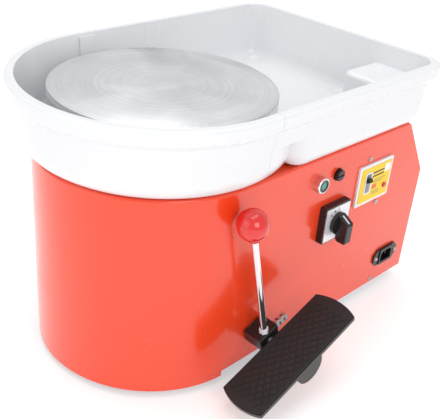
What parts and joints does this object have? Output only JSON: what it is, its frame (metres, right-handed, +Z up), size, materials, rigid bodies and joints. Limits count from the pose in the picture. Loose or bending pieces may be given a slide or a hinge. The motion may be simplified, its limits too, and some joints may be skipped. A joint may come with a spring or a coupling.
{
  "type": "pottery wheel",
  "caption": "Tabletop electric pottery wheel with a turned metal wheel head, two-part splash basin and tool tray, and a side lever with a rocking foot pedal.",
  "frame": {"origin": "point on the floor directly below the wheel head's centre, on the spindle axis", "axes": "+Z up along the spindle, +Y towards the tool tray at the back, +X towards the side with the controls and the pedal"},
  "size_m": [0.3865, 0.5197, 0.335],
  "materials": {
    "zinc_steel": "satin",
    "white_abs": "gloss",
    "cast_aluminium": "satin",
    "turned_aluminium": "satin",
    "black_plastic": "satin",
    "white_plastic": "gloss",
    "bright_steel": "satin",
    "orange_paint": "gloss",
    "black_paint": "satin",
    "circuit_board": "satin",
    "belt_rubber": "matte",
    "foot_rubber": "matte",
    "tread_rubber": "matte",
    "chrome_trim": "polished",
    "green_lens": "gloss",
    "red_plastic": "gloss",
    "brass_gear": "satin",
    "yellow_label": "satin",
    "switch_silver": "satin"
  },
  "bodies": {
    "housing": {"base_plate": "zinc_steel", "bearing_housing": "cast_aluminium", "board_capacitors": "black_plastic", "board_posts": "bright_steel", "body_shell": "orange_paint", "controller_board": "circuit_board", "deck_plate": "zinc_steel", "deck_screws": "bright_steel", "drive_belt": "belt_rubber", "dust_seal": "belt_rubber", "foot_screws": "bright_steel", "fuse_holder": "black_plastic", "heat_sink": "cast_aluminium", "housing_bolts": "bright_steel", "inlet_housing": "black_plastic", "inlet_pins": "bright_steel", "lamp_bezel": "chrome_trim", "lamp_lens": "green_lens", "lower_bearing": "bright_steel", "motor_bolts": "bright_steel", "motor_bracket": "zinc_steel", "motor_can": "black_paint", "panel_nuts": "bright_steel", "panel_screws": "bright_steel", "potentiometer": "bright_steel", "rcd_housing": "white_plastic", "rcd_label": "yellow_label", "rear_panel": "orange_paint", "rear_screws": "bright_steel", "rubber_feet": "foot_rubber", "shaft_bracket": "zinc_steel", "shaft_bush": "brass_gear", "switch_contacts": "black_plastic", "switch_frame": "black_plastic", "switch_plate": "switch_silver", "upper_bearing": "bright_steel"},
    "wheel": {"spindle": "bright_steel", "wheel_head": "turned_aluminium", "head_set_screw": "bright_steel", "driven_pulley": "cast_aluminium", "pulley_nut": "bright_steel"},
    "motor": {"motor_shaft": "bright_steel", "motor_pulley": "cast_aluminium"},
    "lever": {"lever_shaft": "bright_steel", "lever_hub": "black_plastic", "lever_rod": "chrome_trim", "rod_collar": "white_plastic", "lever_knob": "red_plastic", "clamp_bolt": "bright_steel", "pedal_plate": "black_plastic", "pedal_tread": "tread_rubber", "sector_gear": "brass_gear"},
    "sensor": {"pot_gear": "white_plastic"},
    "selector": {"switch_knob": "black_plastic", "knob_pointer": "white_plastic"},
    "fuse_carrier": {"fuse_cap": "black_plastic"},
    "breaker_toggle": {"rcd_toggle": "black_plastic"},
    "breaker_test": {"test_button": "red_plastic"},
    "front_basin": {"basin_front": "white_abs"},
    "rear_basin": {"basin_rear": "white_abs"}
  },
  "joints": [
    {"name": "wheel_spin", "type": "hinge", "parent": "housing", "child": "wheel", "pos_m": [0, 0, 0.2], "axis": [0, 0, 1], "continuous": true},
    {"name": "motor_spin", "type": "hinge", "parent": "housing", "child": "motor", "pos_m": [-0.028, 0.205, 0.133], "axis": [0, 0, 1], "continuous": true},
    {"name": "lever_rock", "type": "hinge", "parent": "housing", "child": "lever", "pos_m": [0.153, 0.033, 0.054], "axis": [-1, 0, 0], "range_deg": [0, 35]},
    {"name": "sensor_turn", "type": "hinge", "parent": "housing", "child": "sensor", "pos_m": [0.079, 0.033, 0.111], "axis": [-1, 0, 0], "range_deg": [-187, 0]},
    {"name": "selector_turn", "type": "hinge", "parent": "housing", "child": "selector", "pos_m": [0.148, 0.153, 0.162], "axis": [1, 0, 0], "range_deg": [-45, 45]},
    {"name": "fuse_cap_turn", "type": "hinge", "parent": "housing", "child": "fuse_carrier", "pos_m": [0.138, 0.153, 0.222], "axis": [1, 0, 0], "range_deg": [0, 90]},
    {"name": "breaker_switch", "type": "hinge", "parent": "housing", "child": "breaker_toggle", "pos_m": [0.134, 0.2163, 0.192], "axis": [0, 1, 0], "range_deg": [0, 50]},
    {"name": "breaker_test_press", "type": "slide", "parent": "housing", "child": "breaker_test", "axis": [-1, 0, 0], "range_m": [0, 0.0015], "stiffness_N_per_m": 400},
    {"name": "front_basin_off", "type": "slide", "parent": "housing", "child": "front_basin", "axis": [0, -1, 0], "range_m": [0, 0.17]},
    {"name": "rear_basin_off", "type": "slide", "parent": "housing", "child": "rear_basin", "axis": [0, 1, 0], "range_m": [0, 0.2]}
  ],
  "couplings": [
    {"joint": "motor_spin", "follows": "wheel_spin", "ratio": 5},
    {"joint": "sensor_turn", "follows": "lever_rock", "ratio": -5.3333}
  ]
}
